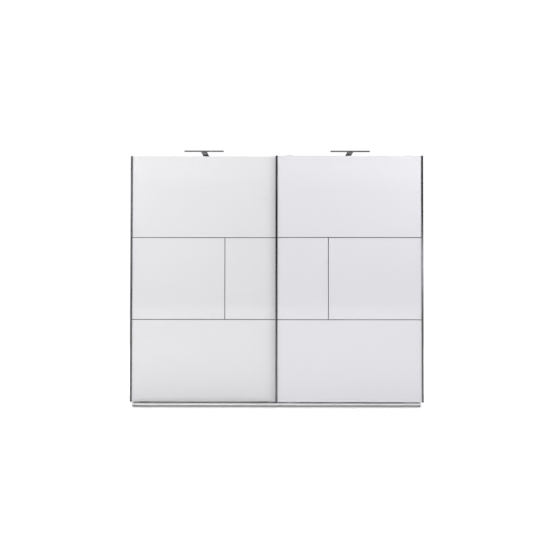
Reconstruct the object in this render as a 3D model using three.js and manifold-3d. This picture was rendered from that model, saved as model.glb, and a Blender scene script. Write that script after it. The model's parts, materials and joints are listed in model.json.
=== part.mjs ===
import * as THREE from 'three';
import { mergeVertices } from 'three/addons/utils/BufferGeometryUtils.js';
import Module from 'manifold-3d';

// A two-door sliding wardrobe. Both doors hang on roller trolleys that run on an aluminium rail on top
// of the carcass, and plastic shoes under the doors run in a guide rail in front of the plinth. The
// right door is on the front plane and the left door slides behind it.
// Millimetres. +X is to the right, -Y is the front and +Z is up. The origin is on the floor, under the
// middle of the whole piece.

// ---- driving dimensions ----

const FIT_GAP = 0.3;              // between two pieces that touch

// doors
const OVERALL_WIDTH = 2500;       // over both doors
const DOOR_BOTTOM = 50;
const DOOR_TOP = 2150;
const PROFILE_WIDTH = 17;         // front face of a handle profile
const PROFILE_WEB = 12;           // its solid part, with the finger groove beside it
const PANEL_INSET = 2;            // glass and board stop this far short of the profile ends
const DOOR_THICKNESS = 26;
const GLASS_FRONT = 6;            // depth of the glass behind the front of the profiles
const BOARD_FRONT = 10;
const TRIM_WIDTH = 5;
const TRIM_PROUD = 1.2;
const NARROW_PANEL_WIDTH = 450;   // inner glass panel of the middle row, up to its vertical trim
const DOOR_GAP = 8;               // clear space between the two door planes
const CARCASS_GAP = 12;           // clear space between the rear door and the carcass

// carcass
const OVERALL_DEPTH = 780;        // lamps included
const LAMP_REACH = 100;           // lamp head in front of the front door
const CARCASS_WIDTH = 2480;
const CARCASS_BOTTOM = 15;
const CARCASS_TOP = 2104;
const BOARD = 16;
const THICK_BOARD = 22;
const BACK_PANEL = 3;
const BOTTOM_PANEL_HEIGHT = 62;
const PLINTH_SETBACK = 6;
const HAT_SHELF_HEIGHT = 1716;
const SHELF_SETBACK = 38;
const CLOTHES_RAIL_HEIGHT = 1660;

// running gear
const TRACK_SPACING = 40;
const FRONT_TRACK_SETBACK = 23;   // front track behind the carcass front
const RAIL_BASE = 3;
const RIB_THICKNESS = 3;
const RIB_TOP = 2121;
const WHEEL_RADIUS = 14;
const GROOVE_RADIUS = 11;         // the wheel rolls on this radius
const GROOVE_WIDTH = 4;
const WHEEL_WIDTH = 10;
const ROLLING_GAP = 0.2;
const AXLE_RADIUS = 3.9;
const BORE_RADIUS = 4;
const TROLLEY_INSET = 120;        // wheel centre from the door's edge
const STEEL = 3;                  // thickness of the trolley steel
const REAR_DOOR_ARM_TOP = 2148;
const FRONT_DOOR_ARM_TOP = 2154.5;

// lamps
const LAMP_X = { left: -610, right: 618 };
const LAMP_LENGTH = 330;
const LAMP_DEPTH = 26;
const LAMP_BOTTOM = 2164;
const LAMP_TOP = 2173;
const ARM_WIDTH = 50;
const ARM_THICKNESS = 3.7;

// ---- derived dimensions ----

const OVERLAP = PROFILE_WIDTH;
const DOOR_WIDTH = (OVERALL_WIDTH + OVERLAP) / 2;
const PANEL_EDGE = PANEL_INSET + FIT_GAP;
const LAMP_FRONT_Y = -OVERALL_DEPTH / 2;
const FRONT_DOOR_Y = LAMP_FRONT_Y + LAMP_REACH;
const REAR_DOOR_Y = FRONT_DOOR_Y + DOOR_THICKNESS + DOOR_GAP;
const CARCASS_FRONT_Y = REAR_DOOR_Y + DOOR_THICKNESS + CARCASS_GAP;
const REAR_Y = OVERALL_DEPTH / 2;
const CARCASS_REAR_Y = REAR_Y - BACK_PANEL - FIT_GAP;
const PLINTH_Y = CARCASS_FRONT_Y + PLINTH_SETBACK;
const SIDE_INNER_X = CARCASS_WIDTH / 2 - BOARD;
const BAY_OUTER_X = SIDE_INNER_X - FIT_GAP;
const BAY_INNER_X = BOARD / 2 + FIT_GAP;
const FLOOR_OF_BAY = BOTTOM_PANEL_HEIGHT + THICK_BOARD;
const CEILING_OF_BAY = CARCASS_TOP - THICK_BOARD;
const FRONT_TRACK_Y = CARCASS_FRONT_Y + FRONT_TRACK_SETBACK;
const REAR_TRACK_Y = FRONT_TRACK_Y + TRACK_SPACING;
const RAIL_BOTTOM = CARCASS_TOP + FIT_GAP;
const AXLE_HEIGHT = RIB_TOP + ROLLING_GAP + GROOVE_RADIUS;
const ROW_HEIGHT = (DOOR_TOP - DOOR_BOTTOM) / 3;
const GUIDE_MIDDLE = (BOARD_FRONT + DOOR_THICKNESS) / 2; // middle of the board, behind the door's front

// ---- materials ----

function material(color, roughness, metalness) {
  return new THREE.MeshStandardMaterial({ color, roughness, metalness });
}

const whiteBoard = material(0xe6e5e1, 0.55, 0);
const hardboard = material(0xdedcd6, 0.7, 0);
const whiteGlass = material(0xe4e3e6, 0.08, 0);
const graphiteAluminium = material(0x5b5b5d, 0.35, 0.9);
const railAluminium = material(0xb4b6b8, 0.35, 0.9);
const zincSteel = material(0xa9adb0, 0.4, 0.9);
const chromeTube = material(0xd8dadc, 0.12, 1);
const rollerPlastic = material(0xd9d6cc, 0.45, 0);
const darkPlastic = material(0x2b2b2d, 0.55, 0);
const greyPlastic = material(0x8b8c8d, 0.55, 0);
const darkLacquer = material(0x3a3a3b, 0.4, 0.6);
const satinAluminium = material(0x8c8d8f, 0.35, 0.9);

// ---- shape helpers ----

const wasm = await Module();
wasm.setup();

function box(x, y, z) {
  const low = [Math.min(...x), Math.min(...y), Math.min(...z)];
  const high = [Math.max(...x), Math.max(...y), Math.max(...z)];
  const size = low.map((value, i) => high[i] - value);
  const geometry = new THREE.BoxGeometry(...size);
  geometry.translate(...low.map((value, i) => value + size[i] / 2));
  return geometry;
}

function outline(points) {
  return new THREE.Shape(points.map(([a, b]) => new THREE.Vector2(a, b)));
}

// Extrudes an outline of (x, y) points along Z.
function extrudeZ(shape, bottom, top) {
  const geometry = new THREE.ExtrudeGeometry(shape, { depth: top - bottom, bevelEnabled: false });
  geometry.translate(0, 0, bottom);
  return geometry;
}

// Extrudes an outline of (y, z) points along X.
function extrudeX(shape, left, right, curveSegments = 12) {
  const depth = right - left;
  const geometry = new THREE.ExtrudeGeometry(shape, { depth, bevelEnabled: false, curveSegments });
  geometry.rotateX(Math.PI / 2);
  geometry.rotateZ(Math.PI / 2);
  geometry.translate(left, 0, 0);
  return geometry;
}

function cylinderY(radius, y, x, z, segments = 32) {
  const geometry = new THREE.CylinderGeometry(radius, radius, y[1] - y[0], segments);
  geometry.translate(x, (y[0] + y[1]) / 2, z);
  return geometry;
}

function toManifold(geometry) {
  const bare = geometry.clone();
  bare.deleteAttribute('normal');
  bare.deleteAttribute('uv');
  const merged = mergeVertices(bare, 1e-4);
  const vertProperties = new Float32Array(merged.attributes.position.array);
  const triVerts = new Uint32Array(merged.index.array);
  return new wasm.Manifold(new wasm.Mesh({ numProp: 3, vertProperties, triVerts }));
}

function toGeometry(manifold) {
  const mesh = manifold.getMesh();
  const geometry = new THREE.BufferGeometry();
  geometry.setAttribute('position', new THREE.BufferAttribute(mesh.vertProperties, 3));
  geometry.setIndex(new THREE.BufferAttribute(mesh.triVerts, 1));
  geometry.computeVertexNormals();
  return geometry;
}

function joined(...geometries) {
  return toGeometry(geometries.map(toManifold).reduce((whole, part) => whole.add(part)));
}

function add(group, name, geometry, look) {
  const mesh = new THREE.Mesh(geometry, look);
  mesh.name = name;
  group.add(mesh);
}

// ---- carcass ----

function addCarcassBoards(carcass) {
  const depth = [CARCASS_FRONT_Y, CARCASS_REAR_Y];
  const height = [CARCASS_BOTTOM, CARCASS_TOP];
  const between = [-BAY_OUTER_X, BAY_OUTER_X];
  for (const [side, name] of [[-1, 'left'], [1, 'right']]) {
    const x = [side * SIDE_INNER_X, side * CARCASS_WIDTH / 2];
    add(carcass, `side_panel_${name}`, box(x, depth, height), whiteBoard);
  }
  add(carcass, 'top_panel', box(between, depth, [CEILING_OF_BAY, CARCASS_TOP]), whiteBoard);
  add(carcass, 'bottom_panel', box(between, depth, [BOTTOM_PANEL_HEIGHT, FLOOR_OF_BAY]), whiteBoard);
  const clear = [FLOOR_OF_BAY + FIT_GAP, CEILING_OF_BAY - FIT_GAP];
  add(carcass, 'partition_panel', box([-BOARD / 2, BOARD / 2], depth, clear), whiteBoard);
}

function addBase(carcass) {
  const footSetback = 22;
  const underBottom = BOTTOM_PANEL_HEIGHT - FIT_GAP;
  const between = [-BAY_OUTER_X, BAY_OUTER_X];
  const height = [CARCASS_BOTTOM, underBottom];
  const front = [PLINTH_Y, PLINTH_Y + BOARD];
  const rear = [CARCASS_REAR_Y - BOARD, CARCASS_REAR_Y];
  add(carcass, 'plinth_front', box(between, front, height), whiteBoard);
  add(carcass, 'plinth_rear', box(between, rear, height), whiteBoard);

  const centre = [front[1] + FIT_GAP, rear[0] - FIT_GAP];
  add(carcass, 'centre_foot', box([-BOARD / 2, BOARD / 2], centre, [0, underBottom]), whiteBoard);
  const stripY = [CARCASS_FRONT_Y + footSetback, CARCASS_REAR_Y - footSetback];
  for (const [side, name] of [[-1, 'left'], [1, 'right']]) {
    const x = [side * (SIDE_INNER_X + 1), side * (CARCASS_WIDTH / 2 - 1)];
    add(carcass, `foot_strip_${name}`, box(x, stripY, [0, CARCASS_BOTTOM - FIT_GAP]), greyPlastic);
  }
}

function addBackPanels(carcass) {
  const edge = 4;
  const y = [REAR_Y - BACK_PANEL, REAR_Y];
  const z = [CARCASS_BOTTOM + edge, CARCASS_TOP - edge];
  for (const [side, name] of [[-1, 'left'], [1, 'right']]) {
    const x = [side * FIT_GAP / 2, side * (CARCASS_WIDTH / 2 - edge)];
    add(carcass, `back_panel_${name}`, box(x, y, z), hardboard);
  }
}

// An upright flat oval of (y, z) points, the section of a wardrobe tube.
function ovalShape(halfWidth, halfHeight, y, z) {
  const straight = halfHeight - halfWidth;
  const shape = new THREE.Shape();
  shape.absarc(y, z + straight, halfWidth, 0, Math.PI, false);
  shape.absarc(y, z - straight, halfWidth, Math.PI, 2 * Math.PI, false);
  shape.closePath();
  return shape;
}

function addInterior(carcass) {
  const railY = (CARCASS_FRONT_Y + CARCASS_REAR_Y) / 2;
  const railZ = CLOTHES_RAIL_HEIGHT;
  const tube = { halfWidth: 7.5, halfHeight: 15, wall: 1.2 };
  const flange = { halfWidth: 15, halfHeight: 30, thickness: 3 };
  const cup = { wall: 2, depth: 14 };
  const shelfY = [CARCASS_FRONT_Y + SHELF_SETBACK, CARCASS_REAR_Y - FIT_GAP];
  const shelfZ = [HAT_SHELF_HEIGHT, HAT_SHELF_HEIGHT + THICK_BOARD];

  // a flange on the board with an open-topped cup that the tube drops into
  function bracket(wallX, inward) {
    const faceX = wallX + inward * flange.thickness;
    const plateX = [wallX, faceX].sort((a, b) => a - b);
    const cupX = [faceX - inward, faceX + inward * cup.depth].sort((a, b) => a - b);
    const hollowHalf = tube.halfWidth + FIT_GAP;
    const outer = hollowHalf + cup.wall;
    const bottom = railZ - tube.halfHeight - FIT_GAP - cup.wall;
    const floorZ = bottom + cup.wall;
    const top = railZ + tube.halfHeight - 6;
    const channel = outline([
      [railY - outer, bottom], [railY + outer, bottom], [railY + outer, top],
      [railY + hollowHalf, top], [railY + hollowHalf, floorZ],
      [railY - hollowHalf, floorZ], [railY - hollowHalf, top], [railY - outer, top],
    ]);
    const plate = extrudeX(ovalShape(flange.halfWidth, flange.halfHeight, railY, railZ), ...plateX);
    return joined(plate, extrudeX(channel, ...cupX));
  }

  for (const [side, name] of [[-1, 'left'], [1, 'right']]) {
    const x = [side * BAY_INNER_X, side * BAY_OUTER_X];
    add(carcass, `hat_shelf_${name}`, box(x, shelfY, shelfZ), whiteBoard);

    const hole = ovalShape(tube.halfWidth - tube.wall, tube.halfHeight - tube.wall, railY, railZ);
    const section = ovalShape(tube.halfWidth, tube.halfHeight, railY, railZ);
    section.holes.push(hole);
    const ends = x.map((value) => Math.abs(value)).sort((a, b) => a - b);
    const clear = flange.thickness + FIT_GAP;
    const tubeX = [side * (ends[0] + clear), side * (ends[1] - clear)].sort((a, b) => a - b);
    add(carcass, `clothes_rail_${name}`, extrudeX(section, ...tubeX, 8), chromeTube);
    add(carcass, `rail_bracket_${name}_inner`, bracket(x[0], side), zincSteel);
    add(carcass, `rail_bracket_${name}_outer`, bracket(x[1], -side), zincSteel);
  }
}

// ---- rails that carry and guide the doors ----

function addTopRail(carcass) {
  const halfLength = 1235;
  const half = RIB_THICKNESS / 2;
  const front = CARCASS_FRONT_Y + 2;
  const rear = REAR_TRACK_Y + 16;
  const lip = { thickness: 2, top: RAIL_BOTTOM + 10 };
  const base = RAIL_BOTTOM + RAIL_BASE;
  const section = outline([
    [front, RAIL_BOTTOM], [rear, RAIL_BOTTOM], [rear, lip.top], [rear - lip.thickness, lip.top],
    [rear - lip.thickness, base],
    [REAR_TRACK_Y + half, base], [REAR_TRACK_Y + half, RIB_TOP],
    [REAR_TRACK_Y - half, RIB_TOP], [REAR_TRACK_Y - half, base],
    [FRONT_TRACK_Y + half, base], [FRONT_TRACK_Y + half, RIB_TOP],
    [FRONT_TRACK_Y - half, RIB_TOP], [FRONT_TRACK_Y - half, base],
    [front + lip.thickness, base], [front + lip.thickness, lip.top], [front, lip.top],
  ]);
  add(carcass, 'top_running_rail', extrudeX(section, -halfLength, halfLength), railAluminium);
}

// A rubber-faced block at each end of the rail, slotted over both ribs, that the trolleys run against.
function addEndStops(carcass) {
  const nearX = 1152;
  const farX = 1174;
  const bottom = RAIL_BOTTOM + RAIL_BASE + FIT_GAP;
  const top = AXLE_HEIGHT + 10;
  const reach = 9;
  const bevel = 3;
  const front = FRONT_TRACK_Y - reach;
  const rear = REAR_TRACK_Y + reach;
  const slot = RIB_THICKNESS / 2 + FIT_GAP;
  const slotTop = RIB_TOP + FIT_GAP;
  const section = outline([
    [front, bottom], [FRONT_TRACK_Y - slot, bottom], [FRONT_TRACK_Y - slot, slotTop],
    [FRONT_TRACK_Y + slot, slotTop], [FRONT_TRACK_Y + slot, bottom],
    [REAR_TRACK_Y - slot, bottom], [REAR_TRACK_Y - slot, slotTop],
    [REAR_TRACK_Y + slot, slotTop], [REAR_TRACK_Y + slot, bottom],
    [rear, bottom], [rear, top - bevel], [rear - bevel, top],
    [front + bevel, top], [front, top - bevel],
  ]);
  add(carcass, 'end_stop_left', extrudeX(section, -farX, -nearX), darkPlastic);
  add(carcass, 'end_stop_right', extrudeX(section, nearX, farX), darkPlastic);
}

// Hooked in front of the plinth: two grooves for the door shoes, and an apron that hides them.
function addBottomRail(carcass) {
  const base = { bottom: 31, top: 33.5 };
  const rib = { thickness: 2, top: 40, groove: 10 };
  const web = { thickness: 2, top: 59 };
  const apron = { thickness: 2, bottom: 25 };
  const behind = PLINTH_Y - FIT_GAP;
  const points = [
    [behind, base.bottom], [behind, web.top],
    [behind - web.thickness, web.top], [behind - web.thickness, base.top],
  ];
  for (const doorY of [REAR_DOOR_Y, FRONT_DOOR_Y]) {
    const middle = doorY + GUIDE_MIDDLE;
    for (const inner of [middle + rib.groove / 2 + rib.thickness, middle - rib.groove / 2]) {
      const outer = inner - rib.thickness;
      points.push([inner, base.top], [inner, rib.top], [outer, rib.top], [outer, base.top]);
    }
  }
  const [front] = points.pop();
  points.push([front, apron.bottom], [front + apron.thickness, apron.bottom]);
  points.push([front + apron.thickness, base.bottom]);
  const section = outline(points);
  add(carcass, 'bottom_guide_rail', extrudeX(section, -BAY_OUTER_X, BAY_OUTER_X), railAluminium);
}

// ---- clip-on lamps ----

function addLamps(carcass) {
  const armBottom = LAMP_BOTTOM - FIT_GAP - ARM_THICKNESS;
  const armTop = LAMP_BOTTOM - FIT_GAP;
  const armFront = LAMP_FRONT_Y + 15;
  const riser = REAR_TRACK_Y + 30;
  const foot = { bottom: RAIL_BOTTOM, length: 62 };
  const headRear = LAMP_FRONT_Y + LAMP_DEPTH;
  const lens = { front: LAMP_FRONT_Y + 4, rear: LAMP_FRONT_Y + 13, depth: 2 };
  const chamfer = 1.5;
  const arm = outline([
    [armFront, armBottom], [riser, armBottom], [riser, foot.bottom],
    [riser + foot.length, foot.bottom], [riser + foot.length, foot.bottom + ARM_THICKNESS],
    [riser + ARM_THICKNESS, foot.bottom + ARM_THICKNESS], [riser + ARM_THICKNESS, armTop],
    [armFront, armTop],
  ]);
  const head = outline([
    [LAMP_FRONT_Y, LAMP_BOTTOM + chamfer], [LAMP_FRONT_Y + chamfer, LAMP_BOTTOM],
    [lens.front, LAMP_BOTTOM], [lens.front, LAMP_BOTTOM + lens.depth],
    [lens.rear, LAMP_BOTTOM + lens.depth], [lens.rear, LAMP_BOTTOM],
    [headRear - chamfer, LAMP_BOTTOM], [headRear, LAMP_BOTTOM + chamfer],
    [headRear, LAMP_TOP - chamfer], [headRear - chamfer, LAMP_TOP],
    [LAMP_FRONT_Y + chamfer, LAMP_TOP], [LAMP_FRONT_Y, LAMP_TOP - chamfer],
  ]);
  for (const [name, x] of Object.entries(LAMP_X)) {
    add(carcass, `lamp_arm_${name}`, extrudeX(arm, x - ARM_WIDTH / 2, x + ARM_WIDTH / 2), darkLacquer);
    const ends = [x - LAMP_LENGTH / 2, x + LAMP_LENGTH / 2];
    add(carcass, `lamp_head_${name}`, extrudeX(head, ...ends), satinAluminium);
  }
}

// ---- doors ----
// A door's pieces are placed by their distance from its inner edge, the one at the middle of the
// wardrobe. side is -1 for the left door and 1 for the right one.

function doorX(side, fromInnerEdge) {
  return side * (fromInnerEdge - OVERLAP / 2);
}

function addHandleProfile(door, name, edgeX, inward) {
  const lip = 2;
  const wall = 2;
  const soft = 0.6;
  const barBack = GLASS_FRONT - FIT_GAP;
  const points = [
    [0, soft], [soft, 0], [PROFILE_WIDTH - soft, 0], [PROFILE_WIDTH, soft], [PROFILE_WIDTH, lip],
    [PROFILE_WEB, lip], [PROFILE_WEB, barBack], [wall, barBack], [wall, DOOR_THICKNESS], [0, DOOR_THICKNESS],
  ];
  const shape = outline(points.map(([x, y]) => [edgeX + inward * x, y]));
  add(door, name, extrudeZ(shape, DOOR_BOTTOM, DOOR_TOP), graphiteAluminium);
}

function addDoorPanels(door, name, side) {
  const low = DOOR_BOTTOM + PANEL_INSET;
  const high = DOOR_TOP - PANEL_INSET;
  const inner = doorX(side, PANEL_EDGE);
  const outer = doorX(side, DOOR_WIDTH - PANEL_EDGE);
  const glassY = [GLASS_FRONT, BOARD_FRONT - FIT_GAP];
  const trimY = [GLASS_FRONT - TRIM_PROUD, BOARD_FRONT - FIT_GAP];
  const halfTrim = TRIM_WIDTH / 2;
  const clear = halfTrim + FIT_GAP;
  const lowerZ = DOOR_BOTTOM + ROW_HEIGHT;
  const upperZ = DOOR_TOP - ROW_HEIGHT;
  const split = doorX(side, NARROW_PANEL_WIDTH);
  const trimEnd = PROFILE_WEB + FIT_GAP;
  const trimX = [doorX(side, trimEnd), doorX(side, DOOR_WIDTH - trimEnd)];

  add(door, `${name}_carrier_board`,
    box([inner, outer], [BOARD_FRONT, DOOR_THICKNESS], [low, high]), whiteBoard);
  add(door, `${name}_glass_top`, box([inner, outer], glassY, [upperZ + clear, high]), whiteGlass);
  add(door, `${name}_glass_bottom`, box([inner, outer], glassY, [low, lowerZ - clear]), whiteGlass);
  const middle = [lowerZ + clear, upperZ - clear];
  add(door, `${name}_glass_middle_narrow`, box([inner, split - side * clear], glassY, middle), whiteGlass);
  add(door, `${name}_glass_middle_wide`, box([split + side * clear, outer], glassY, middle), whiteGlass);

  add(door, `${name}_trim_upper`,
    box(trimX, trimY, [upperZ - halfTrim, upperZ + halfTrim]), graphiteAluminium);
  add(door, `${name}_trim_lower`,
    box(trimX, trimY, [lowerZ - halfTrim, lowerZ + halfTrim]), graphiteAluminium);
  add(door, `${name}_trim_vertical`,
    box([split - halfTrim, split + halfTrim], trimY, middle), graphiteAluminium);
}

// Bent steel on the back of the door: a screw plate, an arm over the rail and a plate with the axle.
// planeY is where the door's group stands, so that the track's own place can be used here.
function trolley(x, planeY, trackY, armTop) {
  const screwPlate = { halfWidth: 30, bottom: 2066 };
  const armHalfWidth = 20;
  const head = { radius: 6.5, near: 0.5, far: 3 };
  const wheelClearance = 1;
  const belowAxle = 9;
  const embed = 1;

  const track = trackY - planeY;
  const back = DOOR_THICKNESS + FIT_GAP;
  const wheelSide = WHEEL_WIDTH / 2;
  const plateFace = track - wheelSide - wheelClearance;
  const plateY = [plateFace - STEEL, plateFace];
  const headY = [track + wheelSide + head.near, track + wheelSide + head.far];
  const wideX = [x - screwPlate.halfWidth, x + screwPlate.halfWidth];
  const armX = [x - armHalfWidth, x + armHalfWidth];
  return joined(
    box(wideX, [back, back + STEEL], [screwPlate.bottom, armTop]),
    box(armX, [back, plateFace], [armTop - STEEL, armTop]),
    box(armX, plateY, [AXLE_HEIGHT - belowAxle, armTop]),
    cylinderY(AXLE_RADIUS, [plateFace - embed, headY[0] + embed], x, AXLE_HEIGHT),
    cylinderY(head.radius, headY, x, AXLE_HEIGHT),
  );
}

// A grooved wheel that rides on a rib of the top rail, turned about the Y axis.
function wheel(x, trackY) {
  const side = WHEEL_WIDTH / 2;
  const groove = GROOVE_WIDTH / 2;
  const soft = 0.8;
  const taper = 0.5;
  const profile = [
    [BORE_RADIUS, -side], [WHEEL_RADIUS - soft, -side], [WHEEL_RADIUS, soft - side],
    [WHEEL_RADIUS, -groove - taper], [GROOVE_RADIUS, -groove], [GROOVE_RADIUS, groove],
    [WHEEL_RADIUS, groove + taper], [WHEEL_RADIUS, side - soft], [WHEEL_RADIUS - soft, side],
    [BORE_RADIUS, side], [BORE_RADIUS, -side],
  ];
  const geometry = new THREE.LatheGeometry(profile.map(([r, y]) => new THREE.Vector2(r, y)), 32);
  geometry.translate(x, trackY, AXLE_HEIGHT);
  return geometry;
}

// A plastic shoe under the door with a tongue that runs in the guide rail.
function shoe(x) {
  const halfLength = 40;
  const plate = { edge: 1, thickness: 3.7 };
  const tongue = { half: 3.6, tip: 34.2, bevel: 1 };
  const top = DOOR_BOTTOM + PANEL_INSET - FIT_GAP;
  const base = top - plate.thickness;
  const front = BOARD_FRONT + plate.edge;
  const rear = DOOR_THICKNESS - plate.edge;
  const tongueFront = GUIDE_MIDDLE - tongue.half;
  const tongueRear = GUIDE_MIDDLE + tongue.half;
  const section = outline([
    [front, top], [front, base], [tongueFront, base], [tongueFront, tongue.tip + tongue.bevel],
    [tongueFront + tongue.bevel, tongue.tip], [tongueRear - tongue.bevel, tongue.tip],
    [tongueRear, tongue.tip + tongue.bevel], [tongueRear, base], [rear, base], [rear, top],
  ]);
  return extrudeX(section, x - halfLength, x + halfLength);
}

function makeDoor(name, side, planeY, trackY, armTop) {
  const door = new THREE.Group();
  door.position.y = planeY;
  addDoorPanels(door, name, side);
  addHandleProfile(door, `${name}_handle_inner`, doorX(side, 0), side);
  addHandleProfile(door, `${name}_handle_outer`, doorX(side, DOOR_WIDTH), -side);
  const places = [['inner', TROLLEY_INSET], ['outer', DOOR_WIDTH - TROLLEY_INSET]];
  for (const [end, distance] of places) {
    const x = doorX(side, distance);
    add(door, `${name}_trolley_${end}`, trolley(x, planeY, trackY, armTop), zincSteel);
    add(door, `${name}_roller_${end}`, wheel(x, trackY - planeY), rollerPlastic);
    add(door, `${name}_shoe_${end}`, shoe(x), darkPlastic);
  }
  return door;
}

// ---- the whole wardrobe ----

const wardrobe = new THREE.Group();
const carcass = new THREE.Group();
addCarcassBoards(carcass);
addBase(carcass);
addBackPanels(carcass);
addInterior(carcass);
addTopRail(carcass);
addEndStops(carcass);
addBottomRail(carcass);
addLamps(carcass);
wardrobe.add(carcass);

// The rear door takes the front track and the front door reaches over it to the rear track.
wardrobe.add(makeDoor('left_door', -1, REAR_DOOR_Y, FRONT_TRACK_Y, REAR_DOOR_ARM_TOP));
wardrobe.add(makeDoor('right_door', 1, FRONT_DOOR_Y, REAR_TRACK_Y, FRONT_DOOR_ARM_TOP));

export default wardrobe;
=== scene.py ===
"""A two-door sliding wardrobe with white glass fronts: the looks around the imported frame.

Metres, in the frame's own axes: +X to the right, -Y the front, +Z up, the floor at z = 0.
Every place and size comes from the frame's nodes. The small lengths below are thicknesses, radii
and spacings of details that the frame doesn't hold.
"""

import json
import math

import bmesh
import bpy
from mathutils import Matrix, Vector

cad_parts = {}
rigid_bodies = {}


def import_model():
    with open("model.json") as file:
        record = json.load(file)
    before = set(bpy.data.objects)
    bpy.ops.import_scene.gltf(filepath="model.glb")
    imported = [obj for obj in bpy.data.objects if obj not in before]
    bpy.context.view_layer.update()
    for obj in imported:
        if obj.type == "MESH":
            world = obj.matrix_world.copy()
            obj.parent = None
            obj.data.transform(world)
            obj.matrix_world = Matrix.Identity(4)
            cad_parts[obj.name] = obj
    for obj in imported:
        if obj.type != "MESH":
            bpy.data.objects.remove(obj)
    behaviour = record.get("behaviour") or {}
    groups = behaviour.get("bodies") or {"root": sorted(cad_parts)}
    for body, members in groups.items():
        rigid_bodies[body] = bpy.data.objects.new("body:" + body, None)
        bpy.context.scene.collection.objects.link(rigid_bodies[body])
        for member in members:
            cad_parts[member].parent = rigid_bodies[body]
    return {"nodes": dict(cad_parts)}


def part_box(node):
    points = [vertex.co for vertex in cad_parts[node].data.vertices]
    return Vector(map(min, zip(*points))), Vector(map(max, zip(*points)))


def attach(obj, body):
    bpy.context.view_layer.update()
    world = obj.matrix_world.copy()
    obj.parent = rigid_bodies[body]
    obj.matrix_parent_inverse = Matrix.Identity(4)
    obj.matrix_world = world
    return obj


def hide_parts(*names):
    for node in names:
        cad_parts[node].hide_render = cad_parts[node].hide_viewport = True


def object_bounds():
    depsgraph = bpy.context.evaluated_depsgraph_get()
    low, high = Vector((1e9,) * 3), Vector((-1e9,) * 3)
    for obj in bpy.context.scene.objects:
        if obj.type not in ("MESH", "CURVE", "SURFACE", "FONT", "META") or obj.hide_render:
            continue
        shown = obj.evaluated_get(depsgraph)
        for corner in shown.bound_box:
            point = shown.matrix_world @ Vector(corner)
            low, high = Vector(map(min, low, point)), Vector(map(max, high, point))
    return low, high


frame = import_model()
cad_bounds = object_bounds()

MM = 0.001
SIDES = {"left": -1, "right": 1}
DOORS = {"left_door": -1, "right_door": 1}
ENDS = ("inner", "outer")

scene = bpy.context.scene


# ------------------------------------------------------------------ procedural materials

# the part of a noise's range that holds most of its values, and a narrower part for harder contrast
MOST = (0.3, 0.7)
CORE = (0.35, 0.65)


def shade(color, factor):
    return tuple(min(1.0, c * factor) for c in color)


class Look:
    """A Principled material and the node helpers that its colour, roughness and bump need."""

    MIX_FIRST, MIX_SECOND, MIX_RESULT = 6, 7, 2  # a Mix node's sockets for colours

    def __init__(self, name, color, roughness, metallic=0.0, **sockets):
        self.material = bpy.data.materials.new(name)
        self.material.use_nodes = True
        self.material.diffuse_color = (*color, 1)
        self.tree = self.material.node_tree
        self.shader = self.tree.nodes["Principled BSDF"]
        self.shader.inputs["Base Color"].default_value = (*color, 1)
        self.shader.inputs["Roughness"].default_value = roughness
        self.shader.inputs["Metallic"].default_value = metallic
        for socket, value in sockets.items():
            self.shader.inputs[socket.replace("_", " ")].default_value = value
        self.place = self.tree.nodes.new("ShaderNodeTexCoord").outputs["Object"]

    def feed(self, socket, value):
        """Links a socket to another node's output, or sets it to a plain value."""
        if isinstance(value, bpy.types.NodeSocket):
            self.tree.links.new(value, socket)
        else:
            socket.default_value = value

    def node(self, kind, **inputs):
        node = self.tree.nodes.new(kind)
        for key, value in inputs.items():
            self.feed(node.inputs[key.replace("_", " ")], value)
        return node

    def axes(self):
        """The place's X, Y and Z, by name."""
        return self.node("ShaderNodeSeparateXYZ", Vector=self.place).outputs

    def stretched(self, x, y, z):
        """The place, with each axis scaled: a large number makes a pattern fine along that axis."""
        mapping = self.node("ShaderNodeMapping", Vector=self.place)
        mapping.inputs["Scale"].default_value = (x, y, z)
        return mapping.outputs["Vector"]

    def noise(self, scale, detail=3.0, roughness=0.55, place=None):
        """Cloudy noise, with about scale clouds to the metre."""
        node = self.node("ShaderNodeTexNoise", Vector=place or self.place, Scale=scale,
                         Detail=detail, Roughness=roughness)
        return node.outputs["Fac"]

    def cells(self, scale):
        """How far the nearest of scattered points is, with about scale points to the metre."""
        return self.node("ShaderNodeTexVoronoi", Vector=self.place, Scale=scale).outputs["Distance"]

    def between(self, value, low, high, span):
        """The part of value that lies in span, spread over low to high."""
        node = self.node("ShaderNodeMapRange", Value=value)
        node.inputs["From Min"].default_value, node.inputs["From Max"].default_value = span
        node.inputs["To Min"].default_value = low
        node.inputs["To Max"].default_value = high
        return node.outputs["Result"]

    def mask(self, value, span):
        """0 where value is below span and 1 where it is above."""
        return self.between(value, 0.0, 1.0, span)

    def math(self, operation, a, b=0.0):
        node = self.tree.nodes.new("ShaderNodeMath")
        node.operation = operation
        self.feed(node.inputs[0], a)
        self.feed(node.inputs[1], b)
        return node.outputs["Value"]

    def blend(self, factor, first, second):
        """A mix of two colours, each a tuple or another node's output."""
        node = self.tree.nodes.new("ShaderNodeMix")
        node.data_type = "RGBA"
        self.feed(node.inputs["Factor"], factor)
        for index, value in ((self.MIX_FIRST, first), (self.MIX_SECOND, second)):
            self.feed(node.inputs[index], (*value, 1) if isinstance(value, tuple) else value)
        return node.outputs[self.MIX_RESULT]

    def color(self, value):
        self.feed(self.shader.inputs["Base Color"], value)

    def rough(self, value):
        self.feed(self.shader.inputs["Roughness"], value)

    def bump(self, height, depth, strength):
        """Raises the surface by up to depth, in metres, where height is 1."""
        node = self.node("ShaderNodeBump", Height=height, Distance=depth, Strength=strength)
        self.feed(self.shader.inputs["Normal"], node.outputs["Normal"])


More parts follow.
